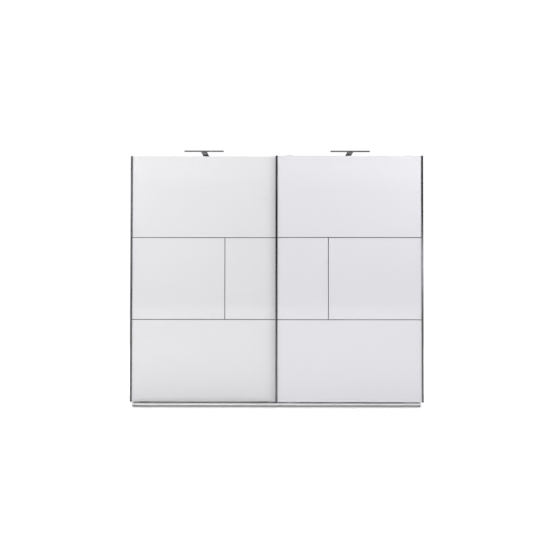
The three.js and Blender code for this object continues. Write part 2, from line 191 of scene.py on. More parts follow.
def melamine(name, color):
    """Paper-faced chipboard: a fine pearl structure with a slight sheen."""
    look = Look(name, color, roughness=0.45)
    cloud = look.between(look.noise(2.3, detail=4), 0.2, 0.8, MOST)
    look.color(look.blend(cloud, shade(color, 0.965), shade(color, 1.025)))
    look.rough(look.between(look.noise(60), 0.40, 0.52, MOST))
    speck = look.noise(900, detail=1)
    pearl = look.math("ADD", speck, look.math("MULTIPLY", look.cells(420), 0.6))
    look.bump(pearl, depth=0.12 * MM, strength=0.35)
    return look.material


def edge_band(name, color):
    """The thin plastic band glued round a board: smoother than its face, with cutter marks."""
    look = Look(name, color, roughness=0.34)
    look.rough(look.between(look.noise(35), 0.28, 0.42, MOST))
    cutter_marks = look.noise(700, detail=1, place=look.stretched(1.0, 0.05, 0.05))
    look.bump(cutter_marks, depth=0.04 * MM, strength=0.4)
    return look.material


def white_glass(name, color):
    """Float glass painted white on its back: an even diffuse white under a hard polish."""
    look = Look(name, color, roughness=0.30, Specular_IOR_Level=0.15,
                Coat_Weight=1.0, Coat_Roughness=0.03, Coat_IOR=1.52)
    cloud = look.mask(look.noise(1.1, detail=2), CORE)
    look.color(look.blend(cloud, shade(color, 0.992), color))
    look.rough(look.between(look.noise(7, detail=4), 0.27, 0.33, MOST))
    drawn = look.noise(3.0, detail=1, place=look.stretched(0.35, 1.0, 1.6))
    look.bump(drawn, depth=0.3 * MM, strength=0.2)
    return look.material


def glass_edge(name, color):
    """The ground and polished edge, where the green of the glass shows."""
    look = Look(name, color, roughness=0.16, Coat_Weight=0.6, Coat_Roughness=0.08)
    streak = look.noise(240, detail=2, place=look.stretched(1.0, 6.0, 1.0))
    look.color(look.blend(look.mask(streak, CORE), shade(color, 0.8), color))
    look.bump(streak, depth=0.03 * MM, strength=0.5)
    return look.material


def brushed(name, color, roughness, along, depth=0.02 * MM):
    """Anodised aluminium with fine lines and a few broad drawing marks along one axis."""
    look = Look(name, color, roughness, metallic=1.0)
    fine = [0.6 if axis == along else 180.0 for axis in "xyz"]
    broad = [0.25 if axis == along else 22.0 for axis in "xyz"]
    hair = look.noise(14, detail=4, roughness=0.7, place=look.stretched(*fine))
    band = look.noise(9, detail=2, place=look.stretched(*broad))
    tone = look.math("ADD", look.math("MULTIPLY", hair, 0.6), look.math("MULTIPLY", band, 0.4))
    tone = look.mask(tone, (0.36, 0.64))
    look.color(look.blend(tone, shade(color, 0.80), shade(color, 1.18)))
    lines = look.between(hair, roughness - 0.07, roughness + 0.07, MOST)
    handled = look.between(look.noise(5), -0.03, 0.04, MOST)
    look.rough(look.math("ADD", lines, handled))
    look.bump(hair, depth=depth, strength=0.6)
    return look.material


def zinc(name, color):
    """Zinc-plated steel: small crystalline patches, a bluish cast and duller handling marks."""
    look = Look(name, color, roughness=0.36, metallic=1.0)
    bluish = (color[0] * 0.95, color[1] * 0.98, color[2] * 1.02)
    look.color(look.blend(look.mask(look.cells(260), (0.1, 0.5)), color, bluish))
    look.rough(look.between(look.noise(70, detail=4), 0.24, 0.46, MOST))
    look.bump(look.noise(420, detail=2), depth=0.03 * MM, strength=0.4)
    return look.material


def chrome(name, color):
    """Chrome plate with hanger scuffs round the tube."""
    look = Look(name, color, roughness=0.08, metallic=1.0)
    scuff = look.noise(120, detail=4, roughness=0.65, place=look.stretched(3.0, 0.4, 0.4))
    look.rough(look.between(scuff, 0.06, 0.26, (0.52, 0.78)))
    look.bump(look.noise(16, detail=1), depth=0.05 * MM, strength=0.2)
    return look.material


def moulded(name, color, roughness, grain=650.0, depth=0.05 * MM):
    """Injection-moulded plastic or rubber with a spark-eroded grain."""
    look = Look(name, color, roughness)
    look.color(look.blend(look.mask(look.noise(45), CORE), shade(color, 0.85), color))
    look.rough(look.between(look.noise(90), roughness - 0.07, roughness + 0.09, MOST))
    look.bump(look.noise(grain, detail=2), depth=depth, strength=0.5)
    return look.material


def lacquer(name, color):
    """Powder coat on steel: a soft orange peel."""
    look = Look(name, color, roughness=0.42, Coat_Weight=0.25, Coat_Roughness=0.25)
    look.color(look.blend(look.mask(look.noise(30), CORE), shade(color, 0.8), color))
    look.rough(look.between(look.noise(25, detail=4), 0.34, 0.50, MOST))
    look.bump(look.noise(520, detail=2), depth=0.06 * MM, strength=0.6)
    return look.material


def hardboard(name, pale, brown, print_end_y):
    """Thin hardboard: printed white towards the bay, bare fibre with a wire-mesh imprint behind."""
    look = Look(name, brown, roughness=0.7)
    axes = look.axes()
    is_back = look.mask(axes["Y"], (print_end_y, print_end_y + 0.2 * MM))

    fibre = look.noise(240, detail=5, roughness=0.7, place=look.stretched(1.0, 1.0, 0.55))
    bare = look.blend(look.mask(fibre, (0.32, 0.68)), shade(brown, 0.66), shade(brown, 1.22))
    blotch = look.between(look.noise(3.2, detail=4), 0.0, 0.35, (0.35, 0.7))
    bare = look.blend(blotch, bare, shade(brown, 0.82))
    chip = look.mask(look.cells(150), (0.05, 0.5))
    chip_edge = look.math("MULTIPLY", look.math("SUBTRACT", 1.0, chip), 0.35)
    bare = look.blend(chip_edge, bare, shade(brown, 0.66))
    printed = look.blend(look.mask(look.noise(2.0), MOST), shade(pale, 0.97), pale)
    look.color(look.blend(is_back, printed, bare))

    duller_back = look.math("MULTIPLY", is_back, 0.22)
    look.rough(look.math("ADD", duller_back, look.between(look.noise(50), 0.48, 0.58, MOST)))

    wires = 2 * math.pi / (2.2 * MM)
    across, up = (look.math("SINE", look.math("MULTIPLY", axes[axis], wires)) for axis in "XZ")
    mesh_print = look.math("MULTIPLY", look.math("MULTIPLY", across, up), is_back)
    imprint = look.math("ADD", look.math("MULTIPLY", mesh_print, 0.5), fibre)
    look.bump(imprint, depth=0.16 * MM, strength=0.5)
    return look.material


def opal(name, color, dark, light):
    """Frosted lamp lens, switched off."""
    look = Look(name, color, roughness=0.5)
    look.color(look.blend(look.mask(look.noise(20), MOST), dark, light))
    ribs = look.noise(900, detail=0, place=look.stretched(1.0, 0.02, 0.02))
    look.bump(ribs, depth=0.12 * MM, strength=0.5)
    return look.material


def raw_chipboard(name, color, dark, light):
    """Pressed wood chips, seen inside a drilled hole."""
    look = Look(name, color, roughness=0.8)
    chip = look.cells(600)
    look.color(look.blend(look.mask(chip, (0.1, 0.6)), dark, light))
    look.bump(chip, depth=0.2 * MM, strength=0.8)
    return look.material


GRAPHITE = (0.118, 0.119, 0.123)
BACK_PRINT_END_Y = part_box("back_panel_left")[0].y + 0.4 * MM

LOOKS = {
    "board": melamine("white_melamine", (0.80, 0.795, 0.78)),
    "band": edge_band("white_edge_band", (0.79, 0.785, 0.775)),
    "back": hardboard("hardboard", (0.78, 0.77, 0.74), (0.300, 0.185, 0.105), BACK_PRINT_END_Y),
    "left_door_glass": white_glass("white_back_painted_glass", (0.740, 0.737, 0.757)),
    "right_door_glass": white_glass("white_back_painted_glass_cooler", (0.740, 0.737, 0.773)),
    "glass_edge": glass_edge("polished_glass_edge", (0.50, 0.62, 0.57)),
    "profile": brushed("graphite_profile", GRAPHITE, 0.21, along="z"),
    "trim": brushed("graphite_trim", GRAPHITE, 0.22, along="x"),
    "upright_trim": brushed("graphite_upright_trim", GRAPHITE, 0.22, along="z"),
    "rail": brushed("anodised_rail", (0.62, 0.63, 0.64), 0.34, along="x", depth=0.03 * MM),
    "guide": brushed("anodised_guide_rail", (0.54, 0.545, 0.55), 0.38,
                     along="x", depth=0.03 * MM),
    "zinc": zinc("zinc_plate", (0.62, 0.63, 0.64)),
    "chrome": chrome("chrome_tube", (0.78, 0.785, 0.79)),
    "nylon": moulded("natural_nylon", (0.74, 0.72, 0.66), 0.42),
    "black": moulded("black_nylon", (0.022, 0.022, 0.024), 0.5),
    "shoe": moulded("shoe_nylon", (0.34, 0.34, 0.345), 0.5),
    "rubber": moulded("black_rubber", (0.018, 0.018, 0.018), 0.72, grain=420.0),
    "grey": moulded("grey_plastic", (0.25, 0.25, 0.26), 0.55),
    "white_plastic": moulded("white_plastic", (0.76, 0.755, 0.74), 0.38),
    "pile": moulded("brush_pile", (0.03, 0.03, 0.032), 0.85, grain=1800.0, depth=0.4 * MM),
    "lacquer": lacquer("dark_powder_coat", (0.032, 0.032, 0.034)),
    "lamp": brushed("satin_lamp_aluminium", (0.06, 0.06, 0.062), 0.42, along="x"),
    "opal": opal("opal_lens", (0.83, 0.83, 0.81), (0.79, 0.79, 0.76), (0.85, 0.85, 0.83)),
    "chip": raw_chipboard("raw_chipboard", (0.42, 0.30, 0.19), (0.24, 0.16, 0.10),
                          (0.55, 0.42, 0.28)),
}


# ------------------------------------------------------------------ mesh helpers

def make_piece(name, bm, looks, body, replaces=()):
    """Turns a bmesh into a piece that rides on a body. looks are its materials, by index."""
    bmesh.ops.recalc_face_normals(bm, faces=bm.faces)
    mesh = bpy.data.meshes.new(name)
    bm.to_mesh(mesh)
    bm.free()
    for look in looks:
        mesh.materials.append(LOOKS[look])
    piece = bpy.data.objects.new(name, mesh)
    scene.collection.objects.link(piece)
    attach(piece, body)
    if replaces:
        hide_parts(*replaces)


def repaint(node, look):
    """Gives a CAD node that is shown as it is a better material."""
    materials = frame["nodes"][node].data.materials
    materials.clear()
    materials.append(LOOKS[look])


def soften(bm, edges, radius, segments):
    """Rounds edges: flat faces stay flat-shaded, the new rounding is smooth."""
    made = bmesh.ops.bevel(bm, geom=list(edges), offset=radius, offset_type="OFFSET",
                           segments=segments, profile=0.5, affect="EDGES", clamp_overlap=True)
    for face in made["faces"]:
        face.smooth = True


def add_box(bm, low, high, radius=0.0, segments=3):
    """A box with rounded edges, joined to bm."""
    low, high = Vector(low), Vector(high)
    place = Matrix.Translation((high + low) / 2) @ Matrix.Diagonal((*(high - low), 1))
    corners = bmesh.ops.create_cube(bm, size=1.0, matrix=place)["verts"]
    if radius:
        soften(bm, {edge for corner in corners for edge in corner.link_edges}, radius, segments)


def on_axis(axis, along, a, b):
    """A point from its place along axis and its other two coordinates, in x, y, z order."""
    return {"x": (along, a, b), "y": (a, along, b), "z": (a, b, along)}[axis]


def add_prism(bm, points, axis, start, end, radius=0.0, segments=3, sharp=()):
    """An outline of (a, b) points, the coordinates other than axis, drawn from start to end.
    The corners are rounded by radius, apart from those numbered in sharp."""
    first = [bm.verts.new(on_axis(axis, start, a, b)) for a, b in points]
    last = [bm.verts.new(on_axis(axis, end, a, b)) for a, b in points]
    bm.faces.new(first)
    bm.faces.new(last)
    for i in range(len(points)):
        j = (i + 1) % len(points)
        bm.faces.new((first[i], first[j], last[j], last[i]))
    if radius:
        rounded = [i for i in range(len(points)) if i not in sharp]
        soften(bm, [bm.edges.get((first[i], last[i])) for i in rounded], radius, segments)


def add_lathe(bm, profile, centre, axis, steps, facing=1, look=0, smooth=True):
    """Turns (radius, height) points round an axis through centre, with the heights towards facing.
    The profile starts and ends on the axis, or closes on itself."""
    up = Vector(on_axis(axis, 1, 0, 0))
    side = Vector(on_axis(axis, 0, 1, 0))
    other = up.cross(side)
    turns = [2 * math.pi * k / steps for k in range(steps)]
    closed = profile[0] == profile[-1]
    rings = []
    for radius, height in (profile[:-1] if closed else profile):
        base = Vector(centre) + up * (height * facing)
        if radius == 0:
            rings.append([bm.verts.new(base)])
        else:
            rings.append([bm.verts.new(base + radius * (side * math.cos(t) + other * math.sin(t)))
                          for t in turns])
    pairs = list(zip(rings, rings[1:])) + ([(rings[-1], rings[0])] if closed else [])
    for below, above in pairs:
        for k in range(steps):
            n = (k + 1) % steps
            corners = [below[k % len(below)], below[n % len(below)],
                       above[n % len(above)], above[k % len(above)]]
            face = bm.faces.new(list(dict.fromkeys(corners)))
            face.smooth = smooth
            face.material_index = look


def add_screw(bm, at, axis, facing, radius, height=None):
    """A pan head with a cross recess, standing on at and facing along axis (+1 or -1)."""
    height = height or radius * 0.5
    steps = 24
    head = [(1.0, 0.0), (1.0, 0.35), (0.93, 0.68), (0.82, 0.9), (0.66, 1.0)]
    arm, half_width, recess = radius * 0.5, radius * 0.13, height * 0.6
    up = Vector(on_axis(axis, facing, 0, 0))
    side = Vector(on_axis(axis, 0, 1, 0))
    other = up.cross(side)

    def point(a, b, h):
        return Vector(at) + up * h + side * a + other * b

    turns = [2 * math.pi * k / steps for k in range(steps)]
    rings = [[bm.verts.new(point(radius * r * math.cos(t), radius * r * math.sin(t), height * h))
              for t in turns] for r, h in head]
    for below, above in zip(rings, rings[1:]):
        for k in range(steps):
            n = (k + 1) % steps
            bm.faces.new((below[k], below[n], above[n], above[k])).smooth = True
    bm.faces.new(list(reversed(rings[0])))

    cross = []
    for quarter in range(4):
        turn = Matrix.Rotation(quarter * math.pi / 2, 2)
        for corner in ((half_width, half_width), (arm, half_width), (arm, -half_width)):
            cross.append(turn @ Vector(corner))
    cross.sort(key=lambda corner: math.atan2(corner.y, corner.x))
    mouth = [bm.verts.new(point(corner.x, corner.y, height)) for corner in cross]
    floor = [bm.verts.new(corner.co - up * recess) for corner in mouth]
    around = [bm.edges.get((rings[-1][k], rings[-1][(k + 1) % steps])) for k in range(steps)]
    count = len(mouth)
    around += [bm.edges.new((mouth[k], mouth[(k + 1) % count])) for k in range(count)]
    bmesh.ops.triangle_fill(bm, use_beauty=True, edges=around)
    for k in range(count):
        n = (k + 1) % count
        bm.faces.new((mouth[k], mouth[n], floor[n], floor[k]))
    bm.faces.new(floor)


def box_piece(name, node, look, body, radius, high_trim=(0, 0, 0)):
    """A rounded stand-in for a plain box node. high_trim pulls its high corner in."""
    low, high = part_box(node)
    bm = bmesh.new()
    add_box(bm, low, high - Vector(high_trim), radius)
    make_piece(name, bm, [look], body, [node])


FLAT = 0.99  # how much of a large face's normal lies along the thin axis, at least


def faced_box(node, thin, radius, segments):
    """A rounded box as large as a node, with material 0 on its two large faces and 1 on its rim.
    thin is the index of the axis across those faces."""
    low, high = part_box(node)
    bm = bmesh.new()
    add_box(bm, low, high, radius, segments)
    for face in bm.faces:
        face.normal_update()
        face.material_index = 0 if abs(face.normal[thin]) > FLAT else 1
    return bm


def board_piece(node, body):
    """A board: its two large faces are melamine and its narrow sides carry an edge band."""
    low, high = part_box(node)
    thin = min(range(3), key=lambda i: high[i] - low[i])
    board = faced_box(node, thin, radius=0.7 * MM, segments=3)
    make_piece(f"{node}_board", board, ["board", "band"], body, [node])


def evenly(start, end, count):
    return [start + (end - start) * k / (count - 1) for k in range(count)]


# ------------------------------------------------------------------ carcass

CARCASS_BOARDS = (
    "side_panel_left", "side_panel_right", "top_panel", "bottom_panel", "partition_panel",
    "plinth_front", "plinth_rear", "centre_foot", "hat_shelf_left", "hat_shelf_right",
)


def cam_caps():
    """Round plastic caps over the cam fittings that hold the boards together."""
    radius, proud = 8.5 * MM, 0.8 * MM
    from_end, from_edge = 34 * MM, 50 * MM
    profile = [(0, 0), (radius, 0), (radius, proud * 0.5), (radius * 0.9, proud),
               (0, proud * 1.05)]
    bm = bmesh.new()
    for node, facing in (("bottom_panel", 1), ("hat_shelf_left", -1), ("hat_shelf_right", -1)):
        low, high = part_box(node)
        z = high.z if facing > 0 else low.z
        for x in (low.x + from_end, high.x - from_end):
            for y in (low.y + from_edge, high.y - from_edge):
                add_lathe(bm, profile, (x, y, z), "z", steps=28, facing=facing)
    make_piece("cam_caps", bm, ["white_plastic"], "carcass")


def shelf_holes():
    """Two columns of small drilled holes on the inner faces of the sides and the partition."""
    radius, proud = 2.5 * MM, 0.05 * MM
    pitch, each_way = 32 * MM, 9
    from_front, from_rear, below_shelf = 18 * MM, 60 * MM, 16 * MM
    shelf_margin = 12 * MM
    profile = [(0, 0), (radius, 0), (radius, proud), (0, proud)]
    partition_low, partition_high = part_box("partition_panel")
    low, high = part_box("hat_shelf_left")
    walls = [(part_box("side_panel_left")[1].x, 1), (partition_low.x, -1),
             (partition_high.x, 1), (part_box("side_panel_right")[0].x, -1)]
    bm = bmesh.new()
    for x, facing in walls:
        for y in (low.y + from_front, high.y - from_rear):
            for k in range(-each_way, each_way + 1):
                z = low.z - below_shelf + k * pitch
                if not low.z - shelf_margin < z < high.z + shelf_margin:
                    add_lathe(bm, profile, (x, y, z), "x", steps=14, facing=facing)
    make_piece("shelf_pin_holes", bm, ["chip"], "carcass")


def shelf_pins():
    """Metal pins that the hat shelves lie on."""
    radius, length, chamfer = 2.4 * MM, 9 * MM, 0.6 * MM
    collar, collar_depth = 4 * MM, 1.2 * MM
    from_front, from_rear, below, wall_gap = 120 * MM, 160 * MM, 4.1 * MM, 0.3 * MM
    profile = [(0, 0), (collar, 0), (collar, collar_depth), (radius, collar_depth),
               (radius, length - chamfer), (radius - chamfer, length), (0, length)]
    bm = bmesh.new()
    for name in SIDES:
        low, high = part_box(f"hat_shelf_{name}")
        for x, facing in ((low.x - wall_gap, 1), (high.x + wall_gap, -1)):
            for y in (low.y + from_front, high.y - from_rear):
                add_lathe(bm, profile, (x, y, low.z - below), "x", steps=20,
                          facing=facing)
    make_piece("shelf_pins", bm, ["zinc"], "carcass")


def back_panels():
    """Two hardboard sheets, joined by a plastic strip and nailed to the carcass all round."""
    nail_proud = 0.6 * MM
    for name in SIDES:
        box_piece(f"back_panel_{name}_sheet", f"back_panel_{name}", "back", "carcass",
                  radius=0.3 * MM, high_trim=(0, nail_proud, 0))

    low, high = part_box("back_panel_left")
    face_y = high.y - nail_proud
    half, from_end = 9 * MM, 6 * MM
    fold_half, fold_sunk, fold_short = 1.2 * MM, 0.1 * MM, 0.15 * MM
    bottom, top = low.z + from_end, high.z - from_end
    strip = bmesh.new()
    add_box(strip, (-half, face_y, bottom), (half, high.y, top),
            radius=0.25 * MM, segments=2)
    add_box(strip, (-fold_half, face_y - fold_sunk, bottom), (fold_half, high.y - fold_short, top))
    make_piece("back_joint_strip", strip, ["white_plastic"], "carcass")

    head = 2.4 * MM
    profile = [(0, 0), (head, 0), (head, nail_proud * 0.3), (head * 0.7, nail_proud * 0.85),
               (0, nail_proud)]
    from_edge, above_plinth = 7 * MM, 55 * MM
    from_corner_z, from_corner_x = 40 * MM, 60 * MM
    nails = bmesh.new()
    for name in SIDES:
        low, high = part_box(f"back_panel_{name}")
        outer = low.x + from_edge if name == "left" else high.x - from_edge
        spots = [(outer, z) for z in evenly(low.z + from_corner_z, high.z - from_corner_z, 15)]
        for x in evenly(low.x + from_corner_x, high.x - from_corner_x, 9):
            spots += [(x, low.z + above_plinth), (x, high.z - from_edge)]
        for x, z in spots:
            add_lathe(nails, profile, (x, face_y, z), "y", steps=12)
    make_piece("back_panel_nails", nails, ["zinc"], "carcass")


def add_oval(bm, half_width, half_height, centre, start, end, wall):
    """An upright flat oval tube along X, open at both ends."""
    y, z = centre
    arc = 16

    def ring(x, w, h):
        points = []
        for k in range(2 * arc):
            t = math.pi * (k + 0.5) / arc
            shift = h - w if k < arc else w - h
            points.append(bm.verts.new((x, y + w * math.cos(t), z + shift + w * math.sin(t))))
        return points

    outer = [ring(x, half_width, half_height) for x in (start, end)]
    inner = [ring(x, half_width - wall, half_height - wall) for x in (start, end)]
    walls = [(outer[0], outer[1], True), (inner[1], inner[0], True),
             (outer[1], inner[1], False), (inner[0], outer[0], False)]
    for a, b, smooth in walls:
        for k in range(2 * arc):
            n = (k + 1) % (2 * arc)
            bm.faces.new((a[k], a[n], b[n], b[k])).smooth = smooth


def clothes_rails():
    """Oval chrome tubes, and the screws of the brackets that they hang in."""
    for name in SIDES:
        node = f"clothes_rail_{name}"
        low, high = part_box(node)
        centre = ((low.y + high.y) / 2, (low.z + high.z) / 2)
        bm = bmesh.new()
        add_oval(bm, (high.y - low.y) / 2, (high.z - low.z) / 2, centre, low.x, high.x,
                 wall=1.2 * MM)
        make_piece(f"{node}_tube", bm, ["chrome"], "carcass", [node])

    plate, below_top, above_bottom = 3 * MM, 7 * MM, 6.5 * MM
    screws = bmesh.new()
    for name, side in SIDES.items():
        for end in ENDS:
            node = f"rail_bracket_{name}_{end}"
            low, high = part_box(node)
            toward = side if end == "inner" else -side
            face_x = (low.x if toward > 0 else high.x) + toward * plate
            for z in (high.z - below_top, low.z + above_bottom):
                add_screw(screws, (face_x, (low.y + high.y) / 2, z), "x", toward,
                          radius=3.4 * MM)
            repaint(node, "zinc")
    make_piece("rail_bracket_screws", screws, ["zinc"], "carcass")


def feet():
    for name in SIDES:
        node = f"foot_strip_{name}"
        box_piece(f"{node}_glide", node, "grey", "carcass",
                  radius=1.2 * MM)


def build_carcass():
    for node in CARCASS_BOARDS:
        board_piece(node, "carcass")
    cam_caps()
    shelf_holes()
    shelf_pins()
    back_panels()
    clothes_rails()
    feet()


# ------------------------------------------------------------------ rails and stops

def build_rails():
    """Better materials for the rails and stops, and the screws that hold the rails."""
    repaint("top_running_rail", "rail")
    repaint("bottom_guide_rail", "guide")
    for name in SIDES:
        repaint(f"end_stop_{name}", "rubber")
    from_end, stagger = 60 * MM, 20 * MM
    base, from_rear, before_middle = 3 * MM, 9 * MM, 4 * MM

    low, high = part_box("top_running_rail")
    base_z = low.z + base
    rear_row, front_row = high.y - from_rear, (low.y + high.y) / 2 - before_middle
    bm = bmesh.new()
    for x in evenly(low.x + from_end, high.x - from_end, 13):
        add_screw(bm, (x, rear_row, base_z), "z", 1, radius=4.2 * MM)
        add_screw(bm, (x + stagger, front_row, base_z), "z", 1, radius=4.2 * MM)
    make_piece("top_rail_screws", bm, ["zinc"], "carcass")

    web, below_top = 2 * MM, 8 * MM
    low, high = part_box("bottom_guide_rail")
    bm = bmesh.new()
    for x in evenly(low.x + from_end, high.x - from_end, 9):
        add_screw(bm, (x, high.y - web, high.z - below_top), "y", -1, radius=3.6 * MM)
    make_piece("bottom_rail_screws", bm, ["black"], "carcass")


# ------------------------------------------------------------------ lamps

LENS_CORNERS = (1, 2, 3, 4)  # the corners of a lamp head's outline that stay sharp


def lamp_arm(name):
    """A flat steel strip over the doors, bent down to a foot that is screwed to the top panel."""
    low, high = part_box(f"lamp_arm_{name}")
    sheet, foot_depth = 3.7 * MM, 62 * MM
    riser = high.y - foot_depth
    top, bottom = high.z, low.z
    outline = [
        (low.y, top - sheet), (riser, top - sheet), (riser, bottom), (high.y, bottom),
        (high.y, bottom + sheet), (riser + sheet, bottom + sheet), (riser + sheet, top),
        (low.y, top),
    ]
    bm = bmesh.new()
    add_prism(bm, outline, "x", low.x, high.x, radius=0.9 * MM)
    make_piece(f"lamp_arm_{name}_strip", bm, ["lacquer"], "carcass",
               [f"lamp_arm_{name}"])

    middle = (low.x + high.x) / 2
    foot_y, foot_spread = riser + 36 * MM, 14 * MM
    head_y, head_spread = low.y + 5.5 * MM, 15 * MM
    screws = bmesh.new()
    for side in SIDES.values():
        add_screw(screws, (middle + side * foot_spread, foot_y, bottom + sheet), "z", 1,
                  radius=4.2 * MM)
    for side in SIDES.values():
        add_screw(screws, (middle + side * head_spread, head_y, top - sheet), "z", -1,
                  radius=2.6 * MM, height=1.0 * MM)
    make_piece(f"lamp_screws_{name}", screws, ["black"], "carcass")


def lamp_head(name):
    """A bar-shaped shell with a cap at each end and a frosted lens in its underside."""
    low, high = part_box(f"lamp_head_{name}")
    lens_front, lens_rear, lens_depth = low.y + 4 * MM, low.y + 13 * MM, 2 * MM
    lens_gap, lens_sunk = 0.1 * MM, 0.2 * MM
    cap = 3 * MM
    outline = [
        (low.y, low.z), (lens_front, low.z), (lens_front, low.z + lens_depth),
        (lens_rear, low.z + lens_depth), (lens_rear, low.z), (high.y, low.z),
        (high.y, high.z), (low.y, high.z),
    ]
    bm = bmesh.new()
    add_prism(bm, outline, "x", low.x + cap, high.x - cap, radius=1.6 * MM, segments=4,
              sharp=LENS_CORNERS)
    make_piece(f"lamp_head_{name}_shell", bm, ["lamp"], "carcass",
               [f"lamp_head_{name}"])
    bm = bmesh.new()
    for x in (low.x, high.x - cap):
        add_box(bm, (x, low.y, low.z), (x + cap, high.y, high.z), radius=1.1 * MM, segments=4)
    make_piece(f"lamp_head_{name}_caps", bm, ["black"], "carcass")
    bm = bmesh.new()
    add_box(bm, (low.x + cap, lens_front + lens_gap, low.z + lens_sunk),
            (high.x - cap, lens_rear - lens_gap, low.z + lens_depth), radius=0.5 * MM, segments=2)
    make_piece(f"lamp_lens_{name}", bm, ["opal"], "carcass")


# ------------------------------------------------------------------ doors

PANES = ("top", "middle_wide", "middle_narrow", "bottom")
TRIMS = {"upper": "trim", "lower": "trim", "vertical": "upright_trim"}
GROOVE_CORNERS = (3, 5)  # the corners of a handle profile's outline that stay sharp
ACROSS_DOOR = 1          # the axis across a door, for faced_box


def glass_panel(node, door):
    """A pane with a fine polished arris; its rim shows the green of the glass."""
    pane = faced_box(node, ACROSS_DOOR, radius=0.5 * MM, segments=2)
    make_piece(f"{node}_pane", pane, [f"{door}_glass", "glass_edge"], door, [node])


def handle_profile(node, door, inward):
    """The upright profile: a soft-edged front lip with a finger groove behind it, and a wall round
    the edge of the board, closed by a moulded cap at each end."""
    low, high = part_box(node)
    lip, web, wall, bar_back = 2 * MM, 12 * MM, 2 * MM, 5.7 * MM
    cap = 1.6 * MM
    width, depth = high.x - low.x, high.y - low.y
    edge_x = low.x if inward > 0 else high.x
    points = [(0, 0), (width, 0), (width, lip), (web, lip), (web, bar_back), (wall, bar_back),
              (wall, depth), (0, depth)]
    outline = [(edge_x + inward * x, low.y + y) for x, y in points]
    bm = bmesh.new()
    add_prism(bm, outline, "z", low.z + cap, high.z - cap, radius=0.7 * MM, segments=4,
              sharp=GROOVE_CORNERS)
    make_piece(f"{node}_extrusion", bm, ["profile"], door, [node])
    bm = bmesh.new()
    for z in (low.z, high.z - cap):
        add_prism(bm, outline, "z", z, z + cap, radius=0.6 * MM, sharp=GROOVE_CORNERS)
    make_piece(f"{node}_end_caps", bm, ["black"], door)


def trolleys(door):
    """A better material for the two trolleys, and four screws on each one's plate."""
    plate, from_middle, rows = 3 * MM, 22 * MM, (10 * MM, 34 * MM)
    screws = bmesh.new()
    for end in ENDS:
        node = f"{door}_trolley_{end}"
        low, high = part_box(node)
        middle = (low.x + high.x) / 2
        for side in SIDES.values():
            for above in rows:
                place = (middle + side * from_middle, low.y + plate, low.z + above)
                add_screw(screws, place, "y", 1, radius=3.8 * MM)
        repaint(node, "zinc")
    make_piece(f"{door}_trolley_screws", screws, ["zinc"], door)


def wheel(door, end):
    """A nylon wheel: rounded flanges either side of the groove, a hub and a pressed-in ring."""
    node = f"{door}_roller_{end}"
    low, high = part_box(node)
    centre = (low + high) / 2
    half = (high.y - low.y) / 2
    outer, groove, hub, bore = (high.z - low.z) / 2, 11 * MM, 7.2 * MM, 4 * MM
    rim, bevel, soft, shoulder = 2.6 * MM, 1.8 * MM, 0.9 * MM, 0.2 * MM
    lip, lip_inner, lip_soft, groove_half = 3.0 * MM, 2.5 * MM, 0.3 * MM, 2 * MM
    dish, hub_sunk, ring_gap, steps = 1.0 * MM, 0.2 * MM, 0.05 * MM, 64
    front = [
        (hub, hub_sunk - half), (hub, dish - half), (outer - rim, dish - half),
        (outer - bevel, -half), (outer - soft, -half), (outer - shoulder, soft - half),
        (outer, -lip), (outer - lip_soft, -lip_inner), (groove, -groove_half),
    ]
    rear = [(radius, -height) for radius, height in reversed(front)]
    ring = [(bore, -half), (hub - ring_gap, -half), (hub - ring_gap, half), (bore, half)]
    bm = bmesh.new()
    add_lathe(bm, front + rear + front[:1], centre, "y", steps=steps)
    add_lathe(bm, ring + ring[:1], centre, "y", steps=steps, look=1, smooth=False)
    make_piece(f"{node}_wheel", bm, ["nylon", "zinc"], f"{door}_{end}_wheel",
               [node])


def brush_seal(door, side):
    """A pile strip on the back of the front door's inner edge that wipes the rear door's glass."""
    low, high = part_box(f"{door}_handle_inner")
    board_low, board_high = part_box(f"{door}_carrier_board")
    inset, from_end, base_half, base_depth = 4 * MM, 12 * MM, 3.2 * MM, 1.2 * MM
    x = (board_low.x if side > 0 else board_high.x) + side * inset
    bottom, top = low.z + from_end, high.z - from_end
    base_y = board_high.y + base_depth
    bm = bmesh.new()
    add_box(bm, (x - base_half, board_high.y, bottom), (x + base_half, base_y, top),
            radius=0.4 * MM, segments=2)
    make_piece(f"{door}_brush_base", bm, ["black"], door)

    tufts, half_width, half_height, margin = 700, 1.6 * MM, 1.2 * MM, 2 * MM
    length, lean, ragged = 6.4 * MM, 0.25 * MM, 0.35 * MM
    lean_turn, ragged_turn = 12.9898, 4.1414  # radians from tuft to tuft, far from whole turns
    bm = bmesh.new()
    for k, z in enumerate(evenly(bottom + margin, top - margin, tufts)):
        middle = x + lean * math.sin(k * lean_turn)
        tip = board_high.y + length + ragged * math.sin(k * ragged_turn)
        tuft = [(middle - half_width, z - half_height), (middle + half_width, z - half_height),
                (middle + half_width, z + half_height), (middle - half_width, z + half_height)]
        add_prism(bm, tuft, "y", base_y, tip)
    make_piece(f"{door}_brush_pile", bm, ["pile"], door)


def build_door(door, side):
    board_piece(f"{door}_carrier_board", door)
    for pane in PANES:
        glass_panel(f"{door}_glass_{pane}", door)
    handle_profile(f"{door}_handle_inner", door, side)
    handle_profile(f"{door}_handle_outer", door, -side)
    for trim, look in TRIMS.items():
        node = f"{door}_trim_{trim}"
        box_piece(f"{node}_strip", node, look, door, radius=0.5 * MM)
    trolleys(door)
    for end in ENDS:
        wheel(door, end)
        repaint(f"{door}_shoe_{end}", "shoe")


# ------------------------------------------------------------------ stage, lights and camera

FLOOR_REACH = 40.0
FLOOR_WHITE = (0.9, 0.9, 0.9)
